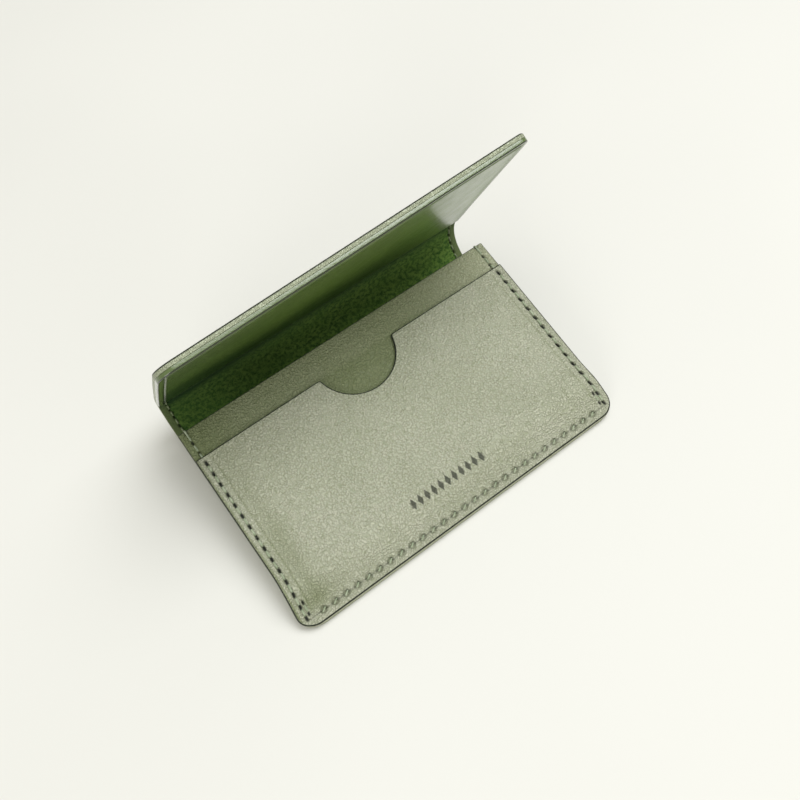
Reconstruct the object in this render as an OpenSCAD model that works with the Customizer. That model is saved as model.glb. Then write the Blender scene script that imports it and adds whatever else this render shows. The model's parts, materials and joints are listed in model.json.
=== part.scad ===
// Leather card holder: a flat back, a curved spine, a lined flap and a pocket block.
// The back lies on the table, the pocket block is raised on its folded side gussets,
// and the flap leans forward over it. +X is the width, +Y runs from the bottom edge to the spine.

/* [Case] */
// Width of the case
case_w = 110; // [90:1:130]
// Flat length of the back, from its bottom edge to the start of the spine
back_len = 67.3; // [64:0.1:75]
// Radius of the bottom corners and of the flap's corners
corner_r = 5.5; // [3:0.5:8]

/* [Leather] */
// Thickness of the outer leather
outer_t = 1.4; // [1:0.1:1.8]
// Thickness of the suede lining of the back and spine
suede_t = 0.8; // [0.5:0.1:1]
// Thickness of the smooth lining of the flap
flap_lining_t = 1.3; // [0.8:0.1:1.6]
// Thickness of each pocket panel
panel_t = 1.2; // [0.8:0.1:1.4]
// Thickness of the gusset leather
gusset_t = 0.5; // [0.4:0.05:0.6]

/* [Spine and flap] */
// Inner radius of the curved spine
spine_r = 11.5; // [11:0.1:14]
// Angle that the spine turns through, from the back to the flap
spine_sweep = 117.6; // [110:0.1:120]
// Length of the flap beyond the spine
flap_len = 58.3; // [50:0.1:62]

/* [Pockets] */
// Angle of the pocket block above the back
pocket_tilt = 13.3; // [12:0.1:14]
// Height of the front panel
front_h = 57; // [50:0.5:58]
// Height of the rear panel
rear_h = 66.5; // [62:0.5:67]
// Radius of the thumb notch
notch_r = 12.7; // [10:0.1:14]
// Height of the notch's centre above the front panel's top edge
notch_rise = 1.6; // [0:0.1:4]

/* [Seams] */
// Distance of the side seams from the side edges
seam_inset = 2.4; // [2:0.1:3]
// Distance of the bottom seam from the back's bottom edge
bottom_seam = 3.4; // [3.3:0.1:4]
// Distance from one stitch to the next
stitch_pitch = 3.65; // [3.2:0.05:4]
// Diameter of the thread
thread_d = 0.5; // [0.4:0.05:0.6]

/* [Hidden] */
$fn = 96;

// Thickness of the back, outer leather and suede together
back_t = outer_t + suede_t;
// The case's depth, half of which centres it on the origin
case_d = back_len + spine_r + back_t;
// Height of the spine's centre of curvature
spine_z = back_t + spine_r;
// The spine is three equal rigid strips, hinged on the lining's inner face
strip_sweep = spine_sweep / 3;
// Half of the slit between two strips, and the bevel that lets the spine open out
slit = 0.15;
bevel = 31;
// How far the flap's flat sheet runs into the last strip, so that the two are one
merge = 0.02;

// Space between the pocket hinge line and the leather on either side of it
hinge_gap = 0.75;
hinge_z = back_t + hinge_gap;
// Margin of the pocket panels below the bottom seam
panel_margin = bottom_seam - 0.7;

// Gusset: distance of its hinge lines from the case's middle, the slope of its
// centre fold, where it starts and ends, and how far its two leaves stay apart
gusset_x = case_w / 2 - seam_inset - 1;
gusset_slope = 13.5;
gusset_start = 12;
gusset_end = 60;
gusset_gap = 1.8;
// Angle of each leaf to the leather it is sewn to, which the tilt decides
leaf_angle = asin(tan(pocket_tilt / 2) / tan(gusset_slope));

hide = [0.60, 0.62, 0.50];
suede = [0.20, 0.28, 0.16];
lining = [0.42, 0.46, 0.30];
thread = [0.50, 0.56, 0.42];

// ---------------------------------------------------------------- frames

// The case's own coordinates: bottom edge at y = 0, underside at z = 0
module in_case() translate([0, -case_d / 2, 0]) children();

// The pocket block's coordinates: x and z from the hinge line, y up the panels
module in_pocket() in_case() translate([0, bottom_seam, hinge_z]) rotate([pocket_tilt, 0, 0]) children();

// Moves a point on the lining's face to the spine's curve, angle degrees from its start
module on_spine(angle) in_case() translate([0, back_len, spine_z]) rotate([angle, 0, 0])
    translate([0, 0, -spine_r]) children();

// ---------------------------------------------------------------- shapes

// Sheet with its two corners at y = 0 rounded
module rounded_sheet(w, h, r) {
    translate([-w / 2, r]) square([w, h - r]);
    translate([-w / 2 + r, 0]) square([w - 2 * r, h]);
    for (side = [-1, 1]) translate([side * (w / 2 - r), r]) circle(r);
}

// The case's width of a flat profile that is drawn in the Y-Z plane
module across() rotate([90, 0, 90]) translate([0, 0, -case_w / 2]) linear_extrude(case_w) children();

// Profile of a strip of the spine round its centre of curvature: the angle it starts
// at, the angle it covers, and the distances of its two faces from the lining's face
module strip_profile(start, sweep, near, far) intersection() {
    difference() {
        circle(spine_r + far);
        circle(spine_r + near);
    }
    polygon([[0, 0], for (a = [start, start + sweep / 2, start + sweep]) 2 * spine_r * [sin(a), -cos(a)]]);
}

// Profile of the slit that two strips turn about, wider outside than inside
module slit_profile(angle) {
    outside = 2 * back_t;
    opened = slit + outside * tan(bevel);
    rotate(angle) translate([0, -spine_r])
        polygon([[-slit, 1], [slit, 1], [slit, 0], [opened, -outside], [-opened, -outside], [-slit, 0]]);
}

// One layer of one of the spine's three strips, counted from the back
module spine_strip(number, near, far) in_case() translate([0, back_len, spine_z]) across() difference() {
    strip_profile(number * strip_sweep, strip_sweep, near, far);
    if (number > 0) slit_profile(number * strip_sweep);
    if (number < 2) slit_profile((number + 1) * strip_sweep);
}

// One stitch along Y, lying on the face at z = 0
module stitch(length) translate([0, -length / 2, thread_d / 2])
    rotate([-90, 0, 0]) cylinder(d = thread_d, h = length, $fn = 16);

// A stitch's length, less than the pitch by the hole it goes down
stitch_len = stitch_pitch - 0.9;

// ---------------------------------------------------------------- outer leather

module back_leather() color(hide) {
    in_case() linear_extrude(outer_t) rounded_sheet(case_w, back_len, corner_r);
    spine_strip(0, suede_t, back_t);
}

module spine_leather() color(hide) spine_strip(1, suede_t, back_t);

module flap_leather() color(hide) {
    spine_strip(2, suede_t, back_t);
    on_spine(spine_sweep) translate([0, flap_len, -back_t]) rotate([0, 0, 180])
        linear_extrude(outer_t) rounded_sheet(case_w, flap_len + merge, corner_r);
}

// ---------------------------------------------------------------- linings

module back_lining() color(suede) {
    in_case() translate([0, 0, outer_t]) linear_extrude(suede_t) rounded_sheet(case_w, back_len, corner_r);
    spine_strip(0, 0, suede_t);
}

module spine_lining() color(suede) spine_strip(1, 0, suede_t);

module fold_lining() color(suede) spine_strip(2, 0, suede_t);

module flap_lining() color(lining) on_spine(spine_sweep) translate([0, flap_len, -suede_t])
    rotate([0, 0, 180]) linear_extrude(flap_lining_t) rounded_sheet(case_w, flap_len, corner_r);

// ---------------------------------------------------------------- pocket block

module rear_pocket() color(hide) in_pocket() translate([0, -panel_margin, hinge_gap])
    linear_extrude(panel_t) rounded_sheet(case_w, rear_h, corner_r);

module front_pocket() color(hide) in_pocket() translate([0, -panel_margin, hinge_gap + panel_t])
    linear_extrude(panel_t) difference() {
        rounded_sheet(case_w, front_h, corner_r);
        translate([0, front_h + notch_rise]) circle(notch_r);
    }

// Leaf of a gusset: a tapering sheet from the hinge line to the centre fold,
// drawn towards +X from the pocket hinge's end of its hinge line
module gusset_leaf() translate([0, 0, -gusset_t / 2]) linear_extrude(gusset_t) polygon([
    [0, gusset_start], [gusset_start * tan(gusset_slope) - gusset_gap, gusset_start],
    [gusset_end * tan(gusset_slope) - gusset_gap, gusset_end], [0, gusset_end]]);

module back_leaf(side) color(hide) in_case() translate([side * gusset_x, bottom_seam, hinge_z])
    rotate([0, side * leaf_angle, 0]) mirror([side > 0 ? 1 : 0, 0, 0]) gusset_leaf();

module front_leaf(side) color(hide) in_pocket() translate([side * gusset_x, 0, 0])
    rotate([0, -side * leaf_angle, 0]) mirror([side > 0 ? 1 : 0, 0, 0]) gusset_leaf();

module left_gusset_back() back_leaf(-1);
module left_gusset_front() front_leaf(-1);
module right_gusset_back() back_leaf(1);
module right_gusset_front() front_leaf(1);

// ---------------------------------------------------------------- thread

seam_x = case_w / 2 - seam_inset;
front_face = hinge_gap + 2 * panel_t;
side_stitches = floor((front_h - panel_margin) / stitch_pitch);
rear_stitches = floor((rear_h - panel_margin) / stitch_pitch);
bottom_stitches = floor((2 * seam_x) / stitch_pitch) - 1;

module pocket_side_thread() color(thread) in_pocket() for (side = [-1, 1]) {
    for (i = [0 : side_stitches - 1])
        translate([side * seam_x, (i + 0.5) * stitch_pitch, front_face]) stitch(stitch_len);
    for (i = [side_stitches + 1 : rear_stitches - 1])
        translate([side * seam_x, (i + 0.5) * stitch_pitch, front_face - panel_t]) stitch(stitch_len);
}

module bottom_thread() color(thread) in_pocket() for (i = [0 : bottom_stitches - 1])
    translate([(i - (bottom_stitches - 1) / 2) * stitch_pitch, 0, front_face]) rotate([0, 0, 90])
        stitch(stitch_len);

module back_thread() color(thread) in_case() for (side = [-1, 1])
    for (i = [1 : floor(back_len / stitch_pitch) - 2])
        translate([side * seam_x, back_len - (i - 0.5) * stitch_pitch, back_t]) stitch(stitch_len);

// Two stitches on each side of a strip of the spine
module strip_thread(first) color(thread) for (side = [-1, 1], i = [0.3, 0.7])
    on_spine(first + i * strip_sweep) translate([side * seam_x, 0, 0]) stitch(stitch_len / 2);

module spine_thread() strip_thread(strip_sweep);
module fold_thread() strip_thread(2 * strip_sweep);

// ---------------------------------------------------------------- assembly

back_leather();
back_lining();
spine_leather();
spine_lining();
flap_leather();
fold_lining();
flap_lining();
rear_pocket();
front_pocket();
left_gusset_back();
left_gusset_front();
right_gusset_back();
right_gusset_front();
pocket_side_thread();
bottom_thread();
back_thread();
spine_thread();
fold_thread();
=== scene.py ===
"""Leather card holder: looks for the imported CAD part.

Lengths are in millimetres until row() turns them into the frame's metres. A sheet of
leather is drawn flat, as (x, v, w): x across, v along the leather, w above a reference
face. A place function then bends the flat sheet into its position.
"""
import json
import math

import bmesh
import bpy
import numpy as np
from mathutils import Matrix, Vector
from mathutils.geometry import delaunay_2d_cdt


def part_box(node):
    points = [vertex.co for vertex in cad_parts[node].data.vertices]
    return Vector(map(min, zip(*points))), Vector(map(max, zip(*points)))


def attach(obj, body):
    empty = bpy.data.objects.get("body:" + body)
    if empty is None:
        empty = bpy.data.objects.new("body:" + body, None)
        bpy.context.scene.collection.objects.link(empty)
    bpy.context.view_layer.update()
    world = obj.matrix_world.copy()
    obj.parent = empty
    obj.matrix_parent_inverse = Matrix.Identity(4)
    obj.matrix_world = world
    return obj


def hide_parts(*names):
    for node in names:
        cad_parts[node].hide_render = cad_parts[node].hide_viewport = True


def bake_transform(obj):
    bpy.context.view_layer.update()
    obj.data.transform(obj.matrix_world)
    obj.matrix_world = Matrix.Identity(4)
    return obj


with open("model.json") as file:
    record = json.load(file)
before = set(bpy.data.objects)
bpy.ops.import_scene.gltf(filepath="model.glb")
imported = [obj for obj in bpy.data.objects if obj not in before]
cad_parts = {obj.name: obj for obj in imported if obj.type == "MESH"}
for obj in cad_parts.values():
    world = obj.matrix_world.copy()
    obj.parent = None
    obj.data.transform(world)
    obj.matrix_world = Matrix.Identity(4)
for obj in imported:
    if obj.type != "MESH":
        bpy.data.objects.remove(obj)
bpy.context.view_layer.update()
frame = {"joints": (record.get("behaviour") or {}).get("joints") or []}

MM = 0.001

# ---------------------------------------------------------------- sizes from the frame

JOINTS = {joint["name"]: joint for joint in frame["joints"]}
back_low, back_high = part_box("back_leather")
BOTTOM_Y = back_low.y / MM
HALF_W = back_high.x / MM
hinge = JOINTS["pocket_open"]["pos_m"]
HINGE_Y = hinge[1] / MM - BOTTOM_Y
HINGE_Z = hinge[2] / MM
leaf_axis = JOINTS["left_front_fold"]["axis"]
TILT = math.atan2(leaf_axis[2], leaf_axis[1])
GUSSET_X = JOINTS["right_front_fold"]["pos_m"][0] / MM

# ---------------------------------------------------------------- sizes of the leather

OUTER_T = 1.4
SUEDE_T = 0.8
LINING_T = 1.3
PANEL_T = 1.2
GUSSET_T = 0.5
BACK_T = OUTER_T + SUEDE_T
BACK_LEN = 67.3
SPINE_R = 11.5
SPINE_Z = BACK_T + SPINE_R
SWEEP = math.radians(117.6)
FLAP_LEN = 58.3
NEUTRAL_R = 13.0
ROOT_V = BACK_LEN + NEUTRAL_R * SWEEP
CUT_V = BACK_LEN + NEUTRAL_R * SWEEP / 2
TIP_V = ROOT_V + FLAP_LEN
CORNER_R = 5.5
PANEL_MARGIN = 2.7
FRONT_TOP = 57 - PANEL_MARGIN
REAR_TOP = 66.5 - PANEL_MARGIN
PANEL_GAP = 0.75
NOTCH_R = 12.7
NOTCH_RISE = 1.6
SEAM_X = HALF_W - 2.4
PITCH = 3.65
BOTTOM_STITCHES = 27
TIP_RADII = (5, 3)
CREASE_INSET = 1.9
GUSSET_SLOPE = math.tan(math.radians(13.5))
LEAF_ANGLE = math.asin(math.tan(TILT / 2) / GUSSET_SLOPE)
LEAF_START = 8.5

# The bottom margin is pressed thinner, and the pocket block curves up from it to its tilt
SKIVE = 0.55
SKIVE_LEN = 9
MARGIN_Z = BACK_T * SKIVE + 0.3
CURVE_START = HINGE_Y - 1.2
CURVE_END = HINGE_Y + 10
FLARE = 0.022

# The flap as it stands: it leans a little to the right and turns further at its left end
FLAP_SKEW = 3.6
FLAP_SPREAD = 0.012
FLAP_EXTRA = math.radians(0.5)
FLAP_TWIST = math.radians(1.45)


def smooth(t):
    t = np.clip(t, 0, 1)
    return t * t * (3 - 2 * t)


def row(x, y, z):
    """Case coordinates in millimetres (bottom edge at y = 0) to the frame's metres."""
    return np.column_stack([x, np.asarray(y) + BOTTOM_Y, z]) * MM


# ---------------------------------------------------------------- where sheets lie

def margin_share(distance):
    """The share of its full thickness that the leather has, that far inside the margin."""
    return SKIVE + (1 - SKIVE) * smooth(distance / SKIVE_LEN)


def place_hide(p):
    """v runs from the bottom edge over the back and spine to the flap's tip, and w is the
    height above the face of the suede."""
    x, v, w = p.T
    w = -BACK_T + (w + BACK_T) * margin_share(v - 2)
    arc = np.clip((v - BACK_LEN) / NEUTRAL_R, 0, SWEEP)
    radius = SPINE_R - w
    y = BACK_LEN + np.minimum(v - BACK_LEN, 0) + radius * np.sin(arc)
    z = SPINE_Z - radius * np.cos(arc)
    u = np.maximum(v - ROOT_V, 0)
    turn = SWEEP + (FLAP_EXTRA - FLAP_TWIST * x / HALF_W) * smooth(u / 14)
    root_y = BACK_LEN + SPINE_R * math.sin(SWEEP)
    root_z = SPINE_Z - SPINE_R * math.cos(SWEEP)
    y = np.where(u > 0, root_y + u * np.cos(turn) - w * np.sin(turn), y)
    z = np.where(u > 0, root_z + u * np.sin(turn) + w * np.cos(turn), z)
    lean = np.clip((v - CUT_V) / (TIP_V - CUT_V), 0, 1)
    return row(x + (FLAP_SKEW + FLAP_SPREAD * x) * lean ** 1.4, y, z)


def panel_line(y):
    """Height of the raised pocket block's underside, once it is straight."""
    return HINGE_Z + (y - HINGE_Y) * math.tan(TILT) + PANEL_GAP / math.cos(TILT)


def pocket_curve():
    """The pocket block's underside: flat over the bottom seam, then up to its tilt."""
    y = np.arange(-1.5, 76, 0.04)
    t = np.clip((y - CURVE_START) / (CURVE_END - CURVE_START), 0, 1)
    slope = (CURVE_END - CURVE_START) * math.tan(TILT)
    z = MARGIN_Z + (panel_line(CURVE_END) - MARGIN_Z) * smooth(t) + slope * (t ** 3 - t ** 2)
    z = np.where(y > CURVE_END, panel_line(y), z)
    length = np.concatenate([[0], np.cumsum(np.hypot(np.diff(y), np.diff(z)))])
    end = np.interp(CURVE_END, y, length)
    straight = (CURVE_END - HINGE_Y + PANEL_GAP * math.sin(TILT)) / math.cos(TILT)
    return y, z, length - end + straight, np.arctan(np.gradient(z, y))


CURVE_Y, CURVE_Z, CURVE_V, CURVE_ANGLE = pocket_curve()


def place_pocket(p):
    """v runs up the panels from the bottom seam, and w is the height above the rear
    panel's underside. The block is a little fuller in the middle and wider at the bottom."""
    x, v, w = p.T
    across = 1 - np.clip(np.abs(x) / (SEAM_X - 1), 0, 1) ** 3
    w = w * margin_share(v + 0.5)
    w = w + 0.55 * across * smooth((v - 1) / 14) * (1 - 0.45 * smooth((v - 30) / 34))
    y = np.interp(v, CURVE_V, CURVE_Y)
    z = np.interp(v, CURVE_V, CURVE_Z)
    angle = np.interp(v, CURVE_V, CURVE_ANGLE)
    spread = 1 + FLARE * (1 - smooth((v + 2) / 18))
    return row(x * spread, y - w * np.sin(angle), z + w * np.cos(angle))


# ---------------------------------------------------------------- outlines

def arc(cx, cy, r, start, end, steps=None):
    steps = steps or (14 if r > 1 else 4)
    a = np.radians(np.linspace(start, end, steps + 1))
    return np.column_stack([cx + r * np.cos(a), cy + r * np.sin(a)])


def dense(points, step=0.6):
    """The closed outline with points no further apart than step."""
    out = []
    for a, b in zip(points, np.roll(points, -1, axis=0)):
        n = max(1, int(np.ceil(np.hypot(*(b - a)) / step)))
        out.extend(a + (b - a) * k / n for k in range(n))
    out = np.array(out)
    return out[np.hypot(*(out - np.roll(out, 1, axis=0)).T) > 1e-4]


def outline(half, low, high, r_low, r_high, top=None, marks=()):
    """Anticlockwise outline of a sheet with rounded corners. r_high is the radius of the
    upper left and upper right corner. top replaces the middle of the top edge, from right
    to left, and marks are v values that get a point."""
    r_left, r_right = r_high
    rows = [arc(-half + r_low, low + r_low, r_low, 180, 270),
            arc(half - r_low, low + r_low, r_low, 270, 360)]
    rows.append(np.array([[half, v] for v in marks]).reshape(-1, 2))
    rows.append(arc(half - r_right, high - r_right, r_right, 0, 90))
    if top is not None:
        rows.append(top)
    rows.append(arc(-half + r_left, high - r_left, r_left, 90, 180))
    rows.append(np.array([[-half, v] for v in reversed(marks)]).reshape(-1, 2))
    return dense(np.vstack(rows))


def notch_edge():
    """The thumb notch with its two rounded corners, from right to left."""
    fillet = 1.1
    cy = FRONT_TOP + NOTCH_RISE
    fy = FRONT_TOP - fillet
    fx = math.sqrt((NOTCH_R + fillet) ** 2 - (cy - fy) ** 2)
    lean = math.degrees(math.atan2(cy - fy, fx))
    right = arc(fx, fy, fillet, 90, 180 - lean, 6)
    bowl = arc(0, cy, NOTCH_R, -lean, -180 + lean, 60)
    left = arc(-fx, fy, fillet, lean, 90, 6)
    return np.vstack([right, bowl, left])


def outward(points):
    """Unit normals of a closed anticlockwise outline."""
    before = points - np.roll(points, 1, axis=0)
    after = np.roll(points, -1, axis=0) - points
    before /= np.linalg.norm(before, axis=1)[:, None]
    after /= np.linalg.norm(after, axis=1)[:, None]
    tangent = before + after
    tangent /= np.linalg.norm(tangent, axis=1)[:, None]
    return np.column_stack([tangent[:, 1], -tangent[:, 0]])


def inside(points, ring):
    """Which points are inside the closed outline."""
    x, y = points.T
    result = np.zeros(len(points), bool)
    for (x0, y0), (x1, y1) in zip(ring, np.roll(ring, -1, axis=0)):
        if y0 != y1:
            crosses = (y0 > y) != (y1 > y)
            result ^= crosses & (x < (x1 - x0) * (y - y0) / (y1 - y0) + x0)
    return result


def clear_of(points, ring, gap):
    """Which points are at least gap away from every point of the ring."""
    result = np.ones(len(points), bool)
    for start in range(0, len(points), 4000):
        part = points[start:start + 4000]
        d = (part[:, None, :] - ring[None, :, :]) ** 2
        result[start:start + 4000] = d.sum(2).min(1) > gap * gap
    return result


def fill(ring, spacing, fine):
    """Points inside the ring: a grid of the given spacing, finer in the boxes of fine,
    each (x0, x1, v0, v1, spacing)."""
    low, high = ring.min(0), ring.max(0)
    boxes = [*fine, (low[0], high[0], low[1], high[1], spacing)]
    kept = []
    for number, (x0, x1, v0, v1, step) in enumerate(boxes):
        nx = max(1, round((x1 - x0) / step))
        nv = max(1, round((v1 - v0) / step))
        gx, gv = np.meshgrid(np.linspace(x0, x1, nx + 1), np.linspace(v0, v1, nv + 1))
        points = np.column_stack([gx.ravel(), gv.ravel()])
        for a0, a1, b0, b1, _ in boxes[:number]:
            near = step * 0.4
            x, v = points.T
            points = points[~((x > a0 - near) & (x < a1 + near) & (v > b0 - near) & (v < b1 + near))]
        points = points[inside(points, ring)]
        kept.append(points[clear_of(points, ring, min(0.45, 0.6 * step))])
    return np.vstack(kept)


# ---------------------------------------------------------------- sheet meshes

def edge_profile(thickness, upper, lower, steps=4):
    """(inset, depth below the upper face, edge, upper half) down a side whose upper and
    lower rims are rounded. edge is 0 on the faces and 1 on the side."""
    a = np.linspace(0, math.pi / 2, steps + 1)
    down = [(upper * (1 - math.sin(t)), upper * (1 - math.cos(t)), 2 * t / math.pi, True) for t in a]
    up = [(lower * (1 - math.sin(t)), thickness - lower * (1 - math.cos(t)), 2 * t / math.pi, False)
          for t in a[::-1]]
    return down + up


def add_cut(rim, inner, spacing, cut):
    """The inner points with a row along v = cut, and the lines that join the row up."""
    inner = inner[np.abs(inner[:, 1] - cut) > 0.3 * spacing]
    on_rim = np.where(np.abs(rim[:, 1] - cut) < 1e-6)[0]
    first, last = sorted(on_rim, key=lambda i: rim[i, 0])
    count = int(2 * HALF_W / spacing)
    xs = np.linspace(rim[first, 0], rim[last, 0], count + 1)[1:-1]
    start = len(rim) + len(inner)
    chain = [first, *range(start, start + len(xs)), last]
    inner = np.vstack([inner, np.column_stack([xs, np.full(len(xs), cut)])])
    return inner, list(zip(chain[:-1], chain[1:]))


def triangulate(rim, inner, lines):
    """Points, the rim's first and in order, and anticlockwise triangles inside the rim."""
    flat = np.vstack([rim, inner])
    found = delaunay_2d_cdt([Vector(p) for p in flat], lines, [list(range(len(rim)))], 1, 1e-6, True)
    first_origin = [min(origins, default=len(flat)) for origins in found[3]]
    order = sorted(range(len(first_origin)), key=lambda i: first_origin[i])
    place_of = {old: new for new, old in enumerate(order)}
    flat = np.array([tuple(found[0][i]) for i in order])
    tops = [[place_of[i] for i in f] for f in found[2]]
    corners = flat[np.array(tops)]
    first = corners[:, 1] - corners[:, 0]
    second = corners[:, 2] - corners[:, 0]
    area = first[:, 0] * second[:, 1] - first[:, 1] * second[:, 0]
    real = inside(corners.mean(1), rim) & (np.abs(area) > 1e-4)
    return flat, [f if a > 0 else f[::-1] for f, a, keep in zip(tops, area, real) if keep]


def sheet_arrays(ring, low, high, rounding, spacing, fine, cut):
    """Flat sheet with rounded edges: (x, v, w), faces, edge, and side, which is 1 on the
    upper face and -1 on the lower one."""
    normals = outward(ring)
    rim = ring - normals * rounding[0]
    under = ring - normals * rounding[1]
    inner = fill(rim, spacing, fine)
    lines = []
    if cut is not None:
        inner, lines = add_cut(rim, inner, spacing, cut)
    flat, tops = triangulate(rim, inner, lines)
    n, m = len(rim), len(flat)
    profile = edge_profile(high - low, *rounding)
    parts = [np.column_stack([flat, np.full(m, high)])]
    edge = [np.zeros(m)]
    side = [np.ones(m)]
    for inset, depth, share, is_upper in profile[1:-1]:
        moved = ring - normals * inset
        parts.append(np.column_stack([moved, np.full(n, high - depth)]))
        edge.append(np.full(n, share))
        side.append(np.full(n, 0.5 if is_upper else -0.5))
    parts.append(np.column_stack([np.vstack([under, flat[n:]]), np.full(m, low)]))
    edge.append(np.zeros(m))
    side.append(-np.ones(m))
    starts = [0] + [m + n * k for k in range(len(profile) - 1)]
    faces = list(tops)
    for upper, lower in zip(starts[:-1], starts[1:]):
        for i in range(n):
            j = (i + 1) % n
            faces.append([upper + j, upper + i, lower + i, lower + j])
    faces += [[starts[-1] + i for i in reversed(f)] for f in tops]
    return np.vstack(parts), faces, np.concatenate(edge), np.concatenate(side)


def set_floats(mesh, name, values):
    attribute = mesh.attributes.new(name, "FLOAT", "POINT")
    attribute.data.foreach_set("value", np.asarray(values, np.float32))


def set_rest(mesh, flat):
    """The flat sheet's own coordinates, in metres, which the grain follows."""
    attribute = mesh.attributes.new("rest", "FLOAT_VECTOR", "POINT")
    attribute.data.foreach_set("vector", (flat * MM).astype(np.float32).ravel())


def make_object(name, points, faces, flat, floats, material, normals=None):
    mesh = bpy.data.meshes.new(name)
    mesh.from_pydata(points.tolist(), [], faces)
    set_rest(mesh, flat)
    for key, values in floats.items():
        set_floats(mesh, key, values)
    bm = bmesh.new()
    bm.from_mesh(mesh)
    bmesh.ops.join_triangles(bm, faces=bm.faces[:], angle_face_threshold=math.radians(12),
                             angle_shape_threshold=math.radians(35))
    bm.to_mesh(mesh)
    bm.free()
    mesh.shade_smooth()
    if normals is not None:
        mesh.normals_split_custom_set_from_vertices(normals)
    mesh.materials.append(material)
    obj = bpy.data.objects.new(name, mesh)
    bpy.context.scene.collection.objects.link(obj)
    return obj


def vertex_normals(points, faces):
    """Normals of the whole sheet, so that its two halves are shaded as one."""
    whole = bpy.data.meshes.new("whole")
    whole.from_pydata(points.tolist(), [], faces)
    normals = np.array([v.normal for v in whole.vertices])
    bpy.data.meshes.remove(whole)
    return normals


def sheet(name, ring, low, high, place, material, relief=None, rounding=(0.3, 0.3), spacing=1.0,
          fine=(), cut=None):
    """Builds a leather sheet. relief(x, v, side) gives the height that is added and the
    masks that the material reads. A cut makes two objects that meet at that v."""
    flat, faces, edge, side = sheet_arrays(ring, low, high, rounding, spacing, fine, cut)
    masks = {key: np.zeros(len(flat)) for key in ("lift", "hole", "tone", "shade", "rim")}
    if relief is not None:
        masks.update(relief(flat[:, 0], flat[:, 1], side))
    raised = flat.copy()
    raised[:, 2] += masks.pop("lift") * np.where(edge > 0, 0.5, 1)
    points = place(raised)
    floats = {"edge": edge, **masks}
    if cut is None:
        return make_object(name, points, faces, flat, floats, material)
    normals = vertex_normals(points, faces)
    objects = []
    for part, half in zip(name, (-1, 1)):
        chosen = [f for f in faces if (flat[f, 1].mean() - cut) * half > 0]
        used = np.unique(np.concatenate(chosen))
        new = {old: i for i, old in enumerate(used)}
        chosen = [[new[i] for i in f] for f in chosen]
        kept = {key: values[used] for key, values in floats.items()}
        objects.append(make_object(part, points[used], chosen, flat[used], kept, material,
                                   normals[used].tolist()))
    return objects


# ---------------------------------------------------------------- holes and dents

def oval(x, v, spots, length, width, power=2.0):
    """1 at the middle of each slanted oval spot (x, v, angle), falling to 0 outside."""
    result = np.zeros(len(x))
    for sx, sv, angle in spots:
        near = np.where((np.abs(x - sx) < 3) & (np.abs(v - sv) < 3))[0]
        dx, dv = x[near] - sx, v[near] - sv
        along = dx * math.cos(angle) + dv * math.sin(angle)
        cross = dv * math.cos(angle) - dx * math.sin(angle)
        d = (2 * along / length) ** 2 + (2 * cross / width) ** 2
        result[near] = np.maximum(result[near], np.exp(-d ** (power / 2)))
    return result


def stitch_holes(x, low, high, slant=0.0):
    """Holes (x, v, angle) of a seam that runs along v at that x, from low to high."""
    count = int((high - low) / PITCH + 1e-6)
    return [(x, low + i * PITCH, math.radians(90) + slant) for i in range(count + 1)]


def side_grooves(x, v, line_x, low, high, width):
    """1 along the two straight seams at -line_x and line_x."""
    inside_span = smooth((v - low) / 1.5 + 1) * smooth((high - v) / 1.5 + 1)
    return sum(np.exp(-((x - s * line_x) / width) ** 2) * inside_span for s in (-1, 1))


def side_holes(low, high, left_slant=0.0, right_slant=0.0):
    """The left and the right seam's holes."""
    return [*stitch_holes(-SEAM_X, low, high, left_slant), *stitch_holes(SEAM_X, low, high, right_slant)]


SLANTS = (math.radians(-3), math.radians(13))
FRONT_HOLES = side_holes(0.9, FRONT_TOP - 1.9, *SLANTS)
REAR_HOLES = side_holes(FRONT_TOP + 1.6, REAR_TOP - 0.4, *SLANTS)
TACK_HOLES = [(s * (SEAM_X - 1.15), v, math.radians(90)) for s in (-1, 1) for v in (1.6, 5.2)]
BOTTOM_HOLES = [((i - (BOTTOM_STITCHES - 1) / 2) * PITCH, 0.0, math.radians(38))
                for i in range(BOTTOM_STITCHES)]
UNDER_HOLES = [(x, HINGE_Y, 0.0) for x, _, _ in BOTTOM_HOLES]
BACK_HOLES = side_holes(ROOT_V - 0.9 - 23 * PITCH, ROOT_V - 0.6)
ORNAMENT = [(i * 2.4, 9.2, 0.0) for i in range(-5, 6)]


def lozenge(x, v, spots, half_x, half_v):
    """1 inside each lozenge, falling quickly to 0 at its sides."""
    result = np.zeros(len(x))
    for sx, sv, _ in spots:
        d = np.abs(x - sx) / half_x + np.abs(v - sv) / half_v
        result = np.maximum(result, smooth((1.12 - d) / 0.24))
    return result


def on_face(chosen, **masks):
    """The masks, kept on the chosen vertices only."""
    return {key: np.where(chosen, values, 0) for key, values in masks.items()}


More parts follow.
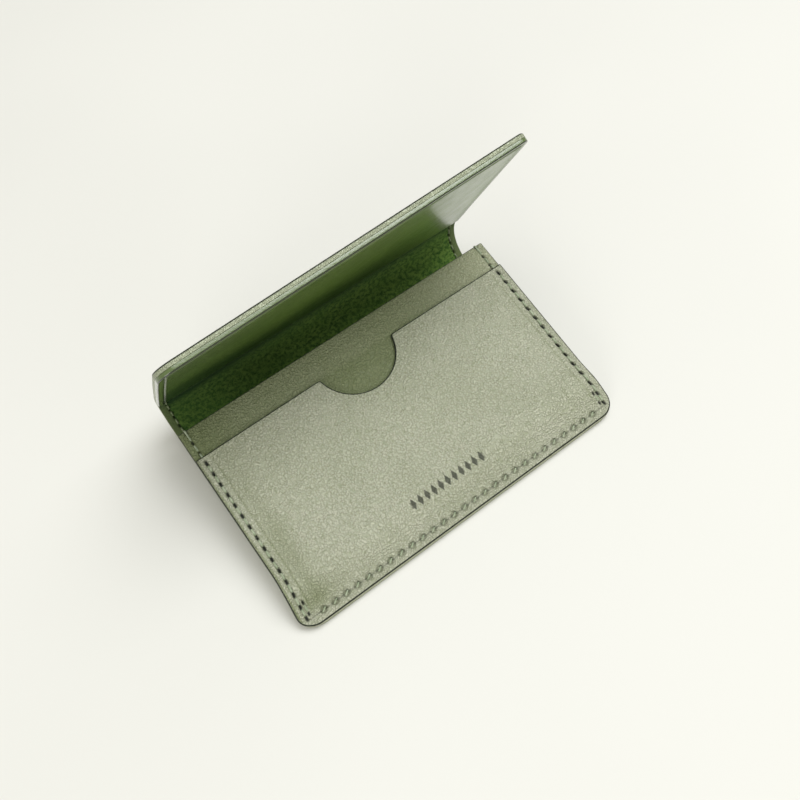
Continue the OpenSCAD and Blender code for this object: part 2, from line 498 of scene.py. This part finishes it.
def front_relief(x, v, side):
    """Seams, the sunken left side, the row of lozenges and a small scratch, with painted shade in the left
    valley, the bottom-left corner, the creases, the dimples, the holes and along the left rim.
    """
    up = side > 0.9
    prick_spots = [(hx + 0.45, hv + 0.45, math.radians(50)) for hx, hv, _ in BOTTOM_HOLES]
    holes = oval(x, v, FRONT_HOLES, 2.1, 0.95, 5) + oval(x, v, TACK_HOLES, 1.5, 0.8, 4)
    dimples = oval(x, v, BOTTOM_HOLES, 2.5, 2.3, 6)
    pricks = oval(x, v, prick_spots, 0.9, 0.55, 3)
    line = np.exp(-(v / 0.3) ** 2) * (np.abs(x) < SEAM_X)
    groove = side_grooves(x, v, SEAM_X, 0, FRONT_TOP, 0.6)
    crease = side_grooves(x, v, SEAM_X - 2.3, 2.5, FRONT_TOP - 2, 0.28)
    valley = np.exp(-((x + SEAM_X - 5) / 3.4) ** 2)
    valley *= smooth((v + 1) / 4) * (1 - 0.5 * smooth((v - 25) / 30))
    corner = np.exp(-(((x + SEAM_X - 6) / 9) ** 2 + ((v - 4.5) / 4) ** 2))
    stamp = lozenge(x, v, ORNAMENT, 0.85, 1.45)
    scratch = np.exp(-((x - 44.2 + (v - 9) * 0.12) / 0.16) ** 2)
    scratch *= smooth((v - 7.2) * 2) * smooth((10.4 - v) * 2)
    lift = (-0.62 * holes - 0.26 * dimples - 0.4 * pricks - 0.07 * line - 0.12 * groove
            - 0.1 * crease - 0.3 * valley - 0.25 * corner - 0.22 * stamp - 0.09 * scratch)
    rims = dimples * (1 - oval(x, v, BOTTOM_HOLES, 1.8, 1.4, 4))
    left_rim = smooth((-x - SEAM_X - 1.1) / 0.6)
    # tone: painted shade in the left valley, the bottom-left corner, the creases, the dimples and along the
    # left rim; on the scratch it is the scratch's own darker colour
    tone = 0.3 * valley + 0.35 * corner + 0.35 * crease + 0.45 * scratch + 0.4 * dimples + 0.7 * left_rim
    # hole: painted shade in the stitch holes, pricks, dimple rims and the bottom seam's line; on the
    # lozenges partly the stamp's own darker colour, partly painted shade
    hole = np.clip(holes + 0.9 * pricks + 0.8 * stamp + 0.5 * rims + 0.35 * line, 0, 1)
    notch = (np.abs(x) < NOTCH_R + 1.2) & (v > FRONT_TOP - NOTCH_R)
    return on_face(up, lift=lift, hole=hole, tone=tone) | {"rim": np.where(side > 0, 1 + notch, notch)}


def rear_relief(x, v, side):
    """Seams, and painted shade on the rear panel: behind the front one, at its left seam, and darker
    towards the left.
    """
    up = side > 0.9
    holes = oval(x, v, REAR_HOLES, 1.5, 0.75, 3)
    groove = side_grooves(x, v, SEAM_X, 0, REAR_TOP, 0.6)
    tucked = smooth((FRONT_TOP + 1.2 - v) / 1.4)
    left = np.exp(-((x + SEAM_X) / 9) ** 2)
    # Painted shade: tucked under the front panel's top edge, at the left seam, and a gradient deepening
    # towards the left.
    tone = 0.2 * tucked + 0.25 * left + 0.55 * smooth((54 - x) / 34)
    lift = -0.6 * holes - 0.12 * groove
    rim = smooth((v - FRONT_TOP + 2) / 2) * (side > 0)
    return on_face(up, lift=lift, hole=holes, tone=tone) | {"rim": rim}


def hide_relief(x, v, side):
    """The outer face has the same seams as the inside."""
    down = side < -0.9
    holes = oval(x, v, BACK_HOLES, 1.5, 0.7, 3)
    under = oval(x, v, UNDER_HOLES, 1.5, 0.7, 3)
    groove = side_grooves(x, v, SEAM_X, 1, ROOT_V, 0.6)
    line = np.exp(-((v - HINGE_Y) / 0.6) ** 2) * (np.abs(x) < SEAM_X)
    lift = 0.5 * (holes + under) + 0.12 * (groove + line)
    rim = np.where(side < 0, 0.15 + 0.85 * smooth((v - 20) / 30), 0)
    return on_face(down, lift=lift, hole=holes + under) | {"rim": rim}


def suede_relief(x, v, side):
    """Uneven nap with a smooth margin, and painted shade: darker to the left and towards the flap."""
    up = side > 0.9
    holes = oval(x, v, BACK_HOLES, 1.5, 0.7, 3)
    groove = side_grooves(x, v, SEAM_X, 1, ROOT_V, 0.6)
    margin = smooth((np.abs(x) - SEAM_X + 0.2) / 0.5)
    rough = 0.06 * np.sin(x * 1.7 + 2 * np.sin(v * 0.9)) * np.sin(v * 1.3 + 1.5 * np.sin(x * 0.8))
    lift = -0.5 * holes - 0.12 * groove + rough * (1 - margin)
    # Painted shade: darker to the left, and darkest in the fold towards the flap.
    shade = 0.5 * smooth(-x / 50) + smooth((v - ROOT_V + 8) / 8)
    masks = on_face(up, lift=lift, hole=holes, tone=margin, shade=shade * (1 - 0.6 * margin))
    return masks | {"rim": np.where(side > 0, 0.8, 0)}


def lining_relief(x, v, side):
    """A creased line runs parallel to the sides and the free edge of the flap, and painted shade darkens
    the lining towards the fold and to the left.
    """
    up = side > 0.9
    from_edge = np.minimum(HALF_W - np.abs(x), TIP_V - v)
    line = np.exp(-((from_edge - CREASE_INSET) / 0.3) ** 2)
    rim = smooth((CREASE_INSET - from_edge) / 0.5)
    ridge = np.exp(-((from_edge - CREASE_INSET - 0.55) / 0.25) ** 2)
    lift = -0.26 * line - 0.05 * rim + 0.1 * ridge
    depth = TIP_V - v
    # Painted shade: darker from the free edge towards the fold, and towards the left end.
    shade = smooth((depth - 24) / 31) * smooth((54 - x) / 40)
    shade += 0.4 * smooth((-15 - x) / 38)
    # The crease line's darkening is painted shade in its groove.
    masks = on_face(up, lift=lift, hole=0.6 * line, tone=0.4 * rim, shade=shade * (1 - rim))
    return masks | {"rim": np.where(side > 0, 1, 0.7)}


# ---------------------------------------------------------------- thread

def thread_run(a, b, top, radius=0.27, sink=0.8, rise=0.16, rings=18, sides=12, twist=1.5, up=1):
    """One stitch from hole a to hole b in a sheet's flat coordinates: it comes out of one
    hole, runs over the leather and goes down the next. Three twisted strands."""
    t = np.linspace(0, 1, rings)
    a, b = np.array(a, float), np.array(b, float)
    length = np.linalg.norm(b - a)
    along = (b - a) / length
    across = np.array([-along[1], along[0]])
    height = top + up * (rise - (rise + sink) * np.abs(2 * t - 1) ** 6)
    centre = np.outer(1 - t, a) + np.outer(t, b)
    dz = np.gradient(height, t * length)
    angle = np.arctan(dz)
    points = []
    for k in range(rings):
        for s in range(sides):
            f = 2 * math.pi * s / sides
            r = radius * (1 + 0.13 * math.cos(3 * f - 2 * math.pi * t[k] * length / twist))
            side, normal = r * math.cos(f), r * math.sin(f) * 0.85
            offset = across * side - along * normal * math.sin(angle[k])
            points.append([*(centre[k] + offset), height[k] + normal * math.cos(angle[k])])
    faces = []
    for k in range(rings - 1):
        for s in range(sides):
            n = (s + 1) % sides
            faces.append([k * sides + s, k * sides + n, (k + 1) * sides + n, (k + 1) * sides + s])
    faces.append(list(range(sides))[::-1])
    faces.append([(rings - 1) * sides + s for s in range(sides)])
    return np.array(points), faces


def thread_object(name, runs, place, material):
    """All of a seam's stitches as one piece."""
    flats, faces, start = [], [], 0
    for points, polygons in runs:
        flats.append(points)
        faces += [[start + i for i in f] for f in polygons]
        start += len(points)
    flat = np.vstack(flats)
    mesh = bpy.data.meshes.new(name)
    mesh.from_pydata(place(flat).tolist(), [], faces)
    set_rest(mesh, flat)
    mesh.shade_smooth()
    mesh.materials.append(material)
    obj = bpy.data.objects.new(name, mesh)
    bpy.context.scene.collection.objects.link(obj)
    bm = bmesh.new()
    bm.from_mesh(mesh)
    bmesh.ops.recalc_face_normals(bm, faces=bm.faces[:])
    bm.to_mesh(mesh)
    bm.free()
    return obj


def runs_between(holes, top, **kwargs):
    """A stitch between each two neighbouring holes of a seam."""
    runs = []
    for a, b in zip(holes[:-1], holes[1:]):
        pa, pb = np.array(a[:2]), np.array(b[:2])
        if np.linalg.norm(pb - pa) < PITCH * 1.2:
            gap = 0.86 * (pb - pa) / np.linalg.norm(pb - pa)
            runs.append(thread_run(pa + gap, pb - gap, top, **kwargs))
    return runs


# ---------------------------------------------------------------- materials

class Shader:
    """A Principled material with short helpers for its nodes."""

    def __init__(self, name):
        self.material = bpy.data.materials.new(name)
        self.material.use_nodes = True
        self.tree = self.material.node_tree
        self.bsdf = self.tree.nodes["Principled BSDF"]

    def node(self, kind, **settings):
        made = self.tree.nodes.new("ShaderNode" + kind)
        for key, value in settings.items():
            setattr(made, key, value)
        return made

    def link(self, source, target):
        self.tree.links.new(source, target)

    def put(self, target, value):
        if isinstance(value, bpy.types.NodeSocket):
            self.link(value, target)
        else:
            target.default_value = value

    def attribute(self, name, output="Fac"):
        return self.node("Attribute", attribute_name=name).outputs[output]

    def rest(self, stretch=(1, 1, 1)):
        mapping = self.node("Mapping")
        self.link(self.attribute("rest", "Vector"), mapping.inputs["Vector"])
        mapping.inputs["Scale"].default_value = stretch
        return mapping.outputs[0]

    def noise(self, vector, size, detail=3, roughness=0.5, distortion=0.0):
        made = self.node("TexNoise")
        self.link(vector, made.inputs["Vector"])
        made.inputs["Scale"].default_value = 1 / (size * MM)
        made.inputs["Detail"].default_value = detail
        made.inputs["Roughness"].default_value = roughness
        made.inputs["Distortion"].default_value = distortion
        return made.outputs["Fac"]

    def cells(self, vector, size, feature="SMOOTH_F1"):
        made = self.node("TexVoronoi", feature=feature)
        self.link(vector, made.inputs["Vector"])
        made.inputs["Scale"].default_value = 1 / (size * MM)
        return made.outputs["Distance"]

    def math(self, operation, a, b=0.0, clamp=False):
        made = self.node("Math", operation=operation, use_clamp=clamp)
        self.put(made.inputs[0], a)
        self.put(made.inputs[1], b)
        return made.outputs[0]

    def ranged(self, value, low, high, to_low=0.0, to_high=1.0):
        made = self.node("MapRange", interpolation_type="SMOOTHSTEP")
        self.put(made.inputs["Value"], value)
        for key, number in (("From Min", low), ("From Max", high), ("To Min", to_low), ("To Max", to_high)):
            made.inputs[key].default_value = number
        return made.outputs[0]

    def mix(self, share, a, b, blend="MIX"):
        made = self.node("Mix", data_type="RGBA", blend_type=blend)
        self.put(made.inputs[0], share)
        self.put(made.inputs[6], a if isinstance(a, bpy.types.NodeSocket) else (*a, 1))
        self.put(made.inputs[7], b if isinstance(b, bpy.types.NodeSocket) else (*b, 1))
        return made.outputs[2]

    def warped(self, vector, size, amount):
        """The vector, moved about by a noise, so that cells aren't regular."""
        noise = self.node("TexNoise")
        self.link(vector, noise.inputs["Vector"])
        noise.inputs["Scale"].default_value = 1 / (size * MM)
        shift = self.node("VectorMath", operation="MULTIPLY_ADD")
        self.link(noise.outputs["Color"], shift.inputs[0])
        shift.inputs[1].default_value = (amount * MM,) * 3
        self.link(vector, shift.inputs[2])
        return shift.outputs[0]

    def bump(self, height, distance, strength=1.0, normal=None):
        made = self.node("Bump")
        self.put(made.inputs["Height"], height)
        made.inputs["Distance"].default_value = distance * MM
        made.inputs["Strength"].default_value = strength
        if normal is not None:
            self.link(normal, made.inputs["Normal"])
        return made.outputs[0]

    def finish(self, color, roughness, normal, specular=0.5):
        self.put(self.bsdf.inputs["Base Color"], color)
        self.put(self.bsdf.inputs["Roughness"], roughness)
        self.bsdf.inputs["Specular IOR Level"].default_value = specular
        self.link(normal, self.bsdf.inputs["Normal"])
        return self.material


EDGE_DARK = (0.012, 0.018, 0.008)
EDGE_PALE = (0.50, 0.52, 0.36)


def leather(name, pale, deep, grain_size, grain_depth, roughness, specular=0.45, edge_pale=EDGE_PALE,
            tone_color=(0.165, 0.20, 0.075), contrast=0.4, shade_color=(0.004, 0.02, 0.002), coat=0.0):
    """Vegetable tanned leather: pebble grain, cloudy colour, burnished dark rims, and
    layered fibres on the cut edge."""
    s = Shader(name)
    at = s.rest()
    clouds = s.noise(at, 19, 4, 0.55, 0.4)
    blotches = s.noise(at, 4.5, 3, 0.6)
    wobble = s.warped(at, 1.1, 0.8)
    pebbles = s.cells(wobble, grain_size, "F1")
    crevices = s.ranged(pebbles, 0.25, 0.75)
    pores = s.noise(at, 0.28, 2, 0.6)
    folds = s.noise(s.warped(at, 3.0, 2.0), 1.1, 3, 0.55)
    grain = s.math("ADD", s.math("MULTIPLY", crevices, -0.8), s.math("MULTIPLY", folds, 0.6))
    color = s.mix(s.ranged(clouds, 0.3, 0.7), deep, pale)
    color = s.mix(s.ranged(blotches, 0.42, 0.75, 0, 0.28), color, deep)
    # The tone mask darkens towards tone_color: painted shade in valleys, corners, creases and behind the
    # front panel, and the own colour of marks such as the scratch.
    color = s.mix(s.math("MULTIPLY", s.attribute("tone"), 1.0, True), color, tone_color)
    color = s.mix(s.math("MULTIPLY", crevices, contrast), color, (0.35, 0.4, 0.3), "MULTIPLY")
    color = s.mix(s.ranged(folds, 0.3, 0.5, contrast, 0.0), color, (0.6, 0.65, 0.5), "MULTIPLY")
    # The shade mask is painted shade.
    color = s.mix(s.math("MULTIPLY", s.attribute("shade"), 1.0, True), color, shade_color)
    edge = s.attribute("edge")
    streaks = s.noise(s.rest((0.12, 0.12, 6)), 0.55, 3, 0.7)
    side = s.mix(s.ranged(streaks, 0.35, 0.65), tuple(0.7 * c for c in edge_pale), edge_pale)
    color = s.mix(s.ranged(edge, 0.03, 0.3), color, side)
    paint = s.math("MULTIPLY", s.ranged(edge, 0.03, 0.2), s.attribute("rim"))
    paint = s.math("SUBTRACT", paint, s.ranged(edge, 0.75, 1.0), True)
    color = s.mix(paint, color, EDGE_DARK)
    # Near black in holes, pricks and seam lines: painted shade; on the stamped lozenges partly their own
    # darker colour.
    color = s.mix(s.math("MULTIPLY", s.attribute("hole"), 1.0, True), color, (0.004, 0.007, 0.003))
    normal = s.bump(grain, grain_depth)
    normal = s.bump(pores, 0.03, 0.6, normal)
    shine = s.math("ADD", s.ranged(blotches, 0.2, 0.8, roughness - 0.06, roughness + 0.07),
                   s.ranged(edge, 0.1, 0.5, 0, -0.16))
    s.bsdf.inputs["Coat Weight"].default_value = coat
    s.bsdf.inputs["Coat Roughness"].default_value = 0.2
    return s.finish(color, shine, normal, specular)


def suede_material():
    """Brushed nap: short fibres in every direction, mottled dark green."""
    s = Shader("suede")
    at = s.rest()
    fibres = s.noise(s.warped(at, 0.9, 0.9), 0.35, 4, 0.75)
    mottle = s.noise(s.warped(at, 3, 2.0), 1.15, 4, 0.65)
    patches = s.noise(at, 9, 3, 0.55)
    color = s.mix(s.ranged(mottle, 0.39, 0.61), (0.012, 0.062, 0.005), (0.155, 0.265, 0.052))
    color = s.mix(s.ranged(patches, 0.35, 0.7, 0, 0.35), color, (0.055, 0.15, 0.016))
    color = s.mix(s.ranged(fibres, 0.35, 0.65, 0, 0.38), color, (0.19, 0.31, 0.09))
    smooth_margin = s.mix(s.ranged(fibres, 0.3, 0.7, 0, 0.4), (0.135, 0.175, 0.075), (0.085, 0.12, 0.04))
    color = s.mix(s.math("MULTIPLY", s.attribute("tone"), 1.0, True), color, smooth_margin)
    # Painted shade from the relief's shade mask.
    color = s.mix(s.math("MULTIPLY", s.attribute("shade"), 1.0, True), color, (0.003, 0.024, 0.002))
    edge = s.attribute("edge")
    color = s.mix(s.ranged(edge, 0.03, 0.3), color, EDGE_PALE)
    paint = s.math("MULTIPLY", s.ranged(edge, 0.03, 0.2), s.attribute("rim"))
    color = s.mix(s.math("SUBTRACT", paint, s.ranged(edge, 0.6, 0.95), True), color, EDGE_DARK)
    # Near black in the stitch holes: painted shade.
    color = s.mix(s.math("MULTIPLY", s.attribute("hole"), 1.0, True), color, (0.004, 0.007, 0.003))
    height = s.math("ADD", s.math("MULTIPLY", fibres, 0.7), s.math("MULTIPLY", mottle, 0.9))
    normal = s.bump(height, 0.3, 0.9)
    s.bsdf.inputs["Sheen Weight"].default_value = 0.12
    s.bsdf.inputs["Sheen Roughness"].default_value = 0.5
    s.bsdf.inputs["Sheen Tint"].default_value = (0.4, 0.65, 0.3, 1)
    return s.finish(color, 0.92, normal, 0.15)


def thread_material(name, pale, deep):
    """Waxed linen thread."""
    s = Shader(name)
    at = s.rest()
    fuzz = s.noise(at, 0.16, 3, 0.7)
    patches = s.noise(at, 2.2, 2, 0.5)
    color = s.mix(s.ranged(patches, 0.35, 0.65), deep, pale)
    color = s.mix(s.ranged(fuzz, 0.35, 0.65, 0.3, 0), color, (0.12, 0.17, 0.09))
    normal = s.bump(fuzz, 0.05, 0.8)
    return s.finish(color, 0.42, normal, 0.4)


HIDE = leather("sage_leather", (0.505, 0.515, 0.41), (0.45, 0.465, 0.355), 0.6, 0.42, 0.5,
               contrast=0.46)
# The rear panel's leather is the front panel's leather painted darker and greener: painted shade for the
# flap's shadow over it.
REAR = leather("rear_leather", (0.44, 0.455, 0.325), (0.39, 0.41, 0.275), 0.6, 0.36, 0.48,
               tone_color=(0.15, 0.19, 0.07), contrast=0.42)
OUTSIDE = leather("outer_leather", (0.36, 0.375, 0.25), (0.27, 0.29, 0.175), 0.6, 0.3, 0.46,
                  edge_pale=(0.38, 0.42, 0.29), contrast=0.35)
LINING = leather("lining_leather", (0.12, 0.188, 0.036), (0.09, 0.153, 0.024), 0.5, 0.03, 0.33,
                 specular=0.5, edge_pale=(0.11, 0.16, 0.055), tone_color=(0.10, 0.135, 0.035),
                 contrast=0.1, coat=0.6)
GUSSET = leather("gusset_leather", (0.20, 0.225, 0.13), (0.15, 0.175, 0.09), 0.45, 0.05, 0.6,
                 specular=0.35)
SUEDE = suede_material()
THREAD = thread_material("thread", (0.40, 0.45, 0.33), (0.30, 0.355, 0.24))
# The back's thread is the same thread painted darker: painted shade for the shade inside the case, used
# under the back as well.
BACK_THREAD = thread_material("back_thread", (0.20, 0.24, 0.135), (0.14, 0.175, 0.09))

# ---------------------------------------------------------------- outer leather and suede

def both_sides(x0, x1, v0, v1, spacing):
    """A box of finer points at the left and the right, for fill()."""
    return [(-x1, -x0, v0, v1, spacing), (x0, x1, v0, v1, spacing)]


SEAM_BAND = 1.3
SIDE_BANDS = both_sides(SEAM_X - SEAM_BAND, SEAM_X + SEAM_BAND, 1.0, ROOT_V + 1, 0.3)
SPINE_BAND = (-HALF_W + 1, HALF_W - 1, BACK_LEN - 2, ROOT_V + 14, 0.8)


def make_outer_leather():
    """The back, spine and flap in one hide, as two pieces that meet in the spine's middle."""
    ring = outline(HALF_W, 1.1, TIP_V, CORNER_R, TIP_RADII, marks=(CUT_V, ROOT_V))
    bottom_band = (-SEAM_X, SEAM_X, HINGE_Y - 1.1, HINGE_Y + 1.1, 0.3)
    return sheet(("outer_leather_back", "outer_leather_flap"), ring, -BACK_T, -SUEDE_T, place_hide,
                 OUTSIDE, hide_relief, (0.12, 0.5), 1.3, [*SIDE_BANDS, bottom_band, SPINE_BAND], CUT_V)


def make_suede():
    ring = outline(HALF_W - 0.05, 1.15, ROOT_V, CORNER_R - 0.1, (0.3, 0.3), marks=(CUT_V,))
    return sheet(("suede_back", "suede_fold"), ring, -SUEDE_T, 0, place_hide, SUEDE,
                 suede_relief, (0.2, 0.1), 1.1, [*SIDE_BANDS, SPINE_BAND], CUT_V)


def make_lining():
    ring = outline(HALF_W, ROOT_V + 0.05, TIP_V, 0.6, TIP_RADII)
    side_lines = both_sides(HALF_W - 2.8, HALF_W - 1.0, ROOT_V + 0.5, TIP_V - 1, 0.22)
    tip_line = (-HALF_W + 2.8, HALF_W - 2.8, TIP_V - 2.8, TIP_V - 1.0, 0.22)
    return sheet("flap_lining_sheet", ring, -SUEDE_T, LINING_T - SUEDE_T, place_hide, LINING,
                 lining_relief, (0.38, 0.12), 1.1, [*side_lines, tip_line])


# ---------------------------------------------------------------- pocket block

def make_front_panel():
    ring = outline(HALF_W, -PANEL_MARGIN - 0.3, FRONT_TOP, CORNER_R, (0.4, 0.4), notch_edge())
    seams = both_sides(SEAM_X - SEAM_BAND, SEAM_X + SEAM_BAND, -0.5, FRONT_TOP - 0.5, 0.2)
    bottom_seam = (-SEAM_X, SEAM_X, -1.2, 1.2, 0.2)
    ornament = (-12.4, 12.4, 7.4, 10.6, 0.17)
    creases = both_sides(SEAM_X - 3.2, SEAM_X - 1.4, 2, FRONT_TOP - 1, 0.3)
    scratch = (43.4, 45, 6.8, 10.8, 0.14)
    return sheet("front_panel", ring, PANEL_T, 2 * PANEL_T, place_pocket, HIDE, front_relief,
                 (0.5, 0.1), 0.9, [*seams, bottom_seam, ornament, *creases, scratch])


def make_rear_panel():
    ring = outline(HALF_W, -PANEL_MARGIN - 0.25, REAR_TOP, CORNER_R, (0.4, 0.4))
    seams = both_sides(SEAM_X - SEAM_BAND, SEAM_X + SEAM_BAND, FRONT_TOP, REAR_TOP - 0.4, 0.2)
    return sheet("rear_panel", ring, 0, PANEL_T, place_pocket, REAR, rear_relief, (0.3, 0.15), 1.2,
                 seams)


# ---------------------------------------------------------------- gussets

def flange_ring(side, low, high):
    xs = sorted((side * (GUSSET_X - 0.2), side * (HALF_W - 0.3)))
    return dense(np.array([[xs[0], low], [xs[1], low], [xs[1], high], [xs[0], high]]), 1.0)


def leaf_ring(side, low, high):
    """A leaf reaches a little past the centre fold, so that no slit opens there."""
    past = 0.55
    reach_low = low * GUSSET_SLOPE + past
    reach_high = high * GUSSET_SLOPE + past
    points = [[0, low], [-side * reach_low, low], [-side * reach_high, high], [0, high]]
    return dense(np.array(points if side < 0 else points[::-1]), 1.0)


def place_leaf(side, front):
    """A gusset leaf turns up from the back, or down from the pocket block, about its seam."""
    def place(p):
        x, v, w = p.T
        bend = LEAF_ANGLE * (-1 if front else 1)
        across = x * math.cos(bend) + side * w * math.sin(bend)
        up = -side * x * math.sin(bend) + w * math.cos(bend)
        if front:
            y = HINGE_Y + v * math.cos(TILT) - up * math.sin(TILT)
            z = HINGE_Z + v * math.sin(TILT) + up * math.cos(TILT)
        else:
            y = HINGE_Y + v
            z = HINGE_Z + up
        return row(side * GUSSET_X + across, y, z)
    return place


def place_on_back(p):
    x, y, w = p.T
    return row(x, y, BACK_T * margin_share(y - 2) + w)


def make_leaf(side, word, part):
    name = f"{word}_gusset_{part}"
    leaf = sheet(name + "_leaf", leaf_ring(side, LEAF_START, 61), -GUSSET_T / 2, GUSSET_T / 2,
                 place_leaf(side, part == "front"), GUSSET, None, (0.2, 0.2), 1.2)
    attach(leaf, f"{word}_{part}_leaf")
    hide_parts(name)


def make_gusset(side, word):
    """Two flanges, glued to the back and to the pocket block, and the two leaves between
    them. Returns the flange that is placed on the pocket block."""
    back = sheet(f"{word}_gusset_back_flange", flange_ring(side, 4.4, 62), 0.02, 0.5,
                 place_on_back, GUSSET, None, (0.15, 0.15), 1.6)
    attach(back, "root")
    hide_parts(f"{word}_gusset_back")
    front = sheet(f"{word}_gusset_front_flange", flange_ring(side, 1.5, 61), -0.5, -0.02,
                  place_pocket, GUSSET, None, (0.15, 0.15), 1.6)
    for part in ("back", "front"):
        make_leaf(side, word, part)
    return front


def make_welt():
    """A thin strip under the bottom seam."""
    ring = outline(HALF_W - 0.35, 1.2, 4.8, CORNER_R - 2, (0.4, 0.4))
    welt = sheet("bottom_welt", ring, 0.02, 0.28, place_on_back, GUSSET, None, (0.1, 0.1), 1.4)
    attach(welt, "root")


# ---------------------------------------------------------------- seams

def on_side(holes, side):
    return [hole for hole in holes if hole[0] * side > 0]


def pocket_side_runs():
    """The front panel's stitches, then the rear panel's, with a longer one over each top edge."""
    front, rear = [], []
    for side in (-1, 1):
        x = side * SEAM_X
        front += runs_between(on_side(FRONT_HOLES, side), 2 * PANEL_T)
        front += runs_between(on_side(TACK_HOLES, side), 2 * PANEL_T)
        front.append(thread_run((x, FRONT_TOP - 1.7), (x, FRONT_TOP + 1.4), PANEL_T + 0.55, sink=0.9))
        rear += runs_between(on_side(REAR_HOLES, side), PANEL_T)
        rear.append(thread_run((x, REAR_TOP - 2.2), (x, REAR_TOP + 0.25), PANEL_T, sink=0.7, rise=0.2))
    return front + rear


def bottom_runs():
    """A short slanted stitch in each dimple of the bottom seam."""
    runs = []
    for x, v, angle in BOTTOM_HOLES:
        half = 0.8 * np.array([math.cos(angle), math.sin(angle)])
        centre = np.array([x, v])
        runs.append(thread_run(centre - half, centre + half, 2 * PANEL_T - 0.3, radius=0.22,
                               sink=0.5, rise=0.12, rings=12))
    return runs


# Under the back the stitches lie in their groove, so that the case is flat on the table
FLUSH = -0.22


def back_runs():
    """The stitches of the back and spine, inside and outside: those before the middle of the
    spine, and those after it."""
    inside_runs = {True: [], False: []}
    outside_runs = {True: [], False: []}
    for side in (-1, 1):
        holes = on_side(BACK_HOLES, side)
        for pair in zip(holes[:-1], holes[1:]):
            middle = (pair[0][1] + pair[1][1]) / 2
            before = middle < CUT_V
            rise = FLUSH if middle < BACK_LEN + 2 else 0.1
            inside_runs[before] += runs_between(pair, 0)
            outside_runs[before] += runs_between(pair, -BACK_T, up=-1, rise=rise)
    outside_runs[True] += runs_between(UNDER_HOLES, -BACK_T, up=-1, rise=FLUSH)
    return [inside_runs[before] + outside_runs[before] for before in (True, False)]


# ---------------------------------------------------------------- all pieces

outer_back, outer_flap = make_outer_leather()
suede_back, suede_fold = make_suede()
lining = make_lining()
front_panel = make_front_panel()
rear_panel = make_rear_panel()
front_flanges = [make_gusset(side, word) for side, word in ((-1, "left"), (1, "right"))]
make_welt()
side_thread = thread_object("pocket_side_stitches", pocket_side_runs(), place_pocket, THREAD)
bottom_thread = thread_object("bottom_stitches", bottom_runs(), place_pocket, THREAD)
runs_before, runs_after = back_runs()
back_thread = thread_object("back_stitches", runs_before, place_hide, BACK_THREAD)
fold_thread = thread_object("fold_stitches", runs_after, place_hide, BACK_THREAD)

# ---------------------------------------------------------------- baked in place, and what the lining and bottom stitches ride on


for piece in (outer_back, suede_back, back_thread):
    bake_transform(piece)
for piece in (outer_flap, suede_fold, fold_thread):
    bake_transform(piece)
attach(lining, "flap")
for piece in (front_panel, rear_panel, side_thread, *front_flanges):
    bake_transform(piece)
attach(bottom_thread, "root")

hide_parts("back_leather", "spine_leather")
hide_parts("flap_leather", "spine_leather")
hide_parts("back_lining", "spine_lining")
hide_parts("fold_lining", "spine_lining")
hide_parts("flap_lining")
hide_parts("front_pocket")
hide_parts("rear_pocket")
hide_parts("pocket_side_thread")
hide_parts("bottom_thread")
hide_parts("back_thread", "spine_thread")
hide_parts("fold_thread")

# ---------------------------------------------------------------- floor, light and camera

def make_floor():
    bpy.ops.mesh.primitive_plane_add(size=6, location=(0, 0, -0.0001))
    floor = bpy.context.object
    floor.name = "floor"
    s = Shader("pale_table")
    coordinate = s.node("TexCoord").outputs["Object"]
    shade = s.noise(coordinate, 240, 2, 0.5)
    color = s.mix(s.ranged(shade, 0.3, 0.7), (0.675, 0.677, 0.652), (0.705, 0.707, 0.682))
    floor.data.materials.append(s.finish(color, 0.85, s.bump(s.noise(coordinate, 3, 2), 0.02, 0.3), 0.2))


def area_light(name, location, target, size, power, color=(1, 1, 1)):
    data = bpy.data.lights.new(name, "AREA")
    data.shape = "DISK"
    data.size = size
    data.energy = power
    data.color = color
    light = bpy.data.objects.new(name, data)
    light.location = location
    light.rotation_euler = (Vector(target) - Vector(location)).to_track_quat("-Z", "Y").to_euler()
    bpy.context.scene.collection.objects.link(light)


def make_lights():
    area_light("key", (0.62, -0.05, 1.25), (0, 0, 0), 1.0, 10, (0.985, 0.992, 1.0))
    area_light("top", (0.2, -0.15, 1.5), (0, 0, 0), 1.4, 12.5, (0.985, 0.992, 1.0))
    area_light("fill", (-0.75, -0.6, 0.32), (0, 0, 0.02), 0.5, 2.8, (1.0, 0.99, 0.94))
    world = bpy.data.worlds.new("studio")
    world.use_nodes = True
    background = world.node_tree.nodes["Background"]
    background.inputs["Color"].default_value = (1.0, 0.965, 0.82, 1)
    background.inputs["Strength"].default_value = 0.42
    bpy.context.scene.world = world


def make_camera():
    """The camera stands where the photograph was taken from, with a 38 mm lens."""
    data = bpy.data.cameras.new("camera")
    data.lens = 38.03
    data.sensor_width = 36
    data.clip_start = 0.01
    camera = bpy.data.objects.new("camera", data)
    forward = Vector((0.23792, 0.42598, -0.87289)).normalized()
    right = Vector((0.80520, -0.58909, -0.06802)).normalized()
    up = right.cross(forward)
    turn = Matrix((right, up, -forward)).transposed()
    camera.matrix_world = Matrix.Translation((-0.05560, -0.10773, 0.22930)) @ turn.to_4x4()
    bpy.context.scene.collection.objects.link(camera)
    bpy.context.scene.camera = camera


make_floor()
make_lights()
make_camera()
bpy.context.scene.view_settings.view_transform = "Standard"
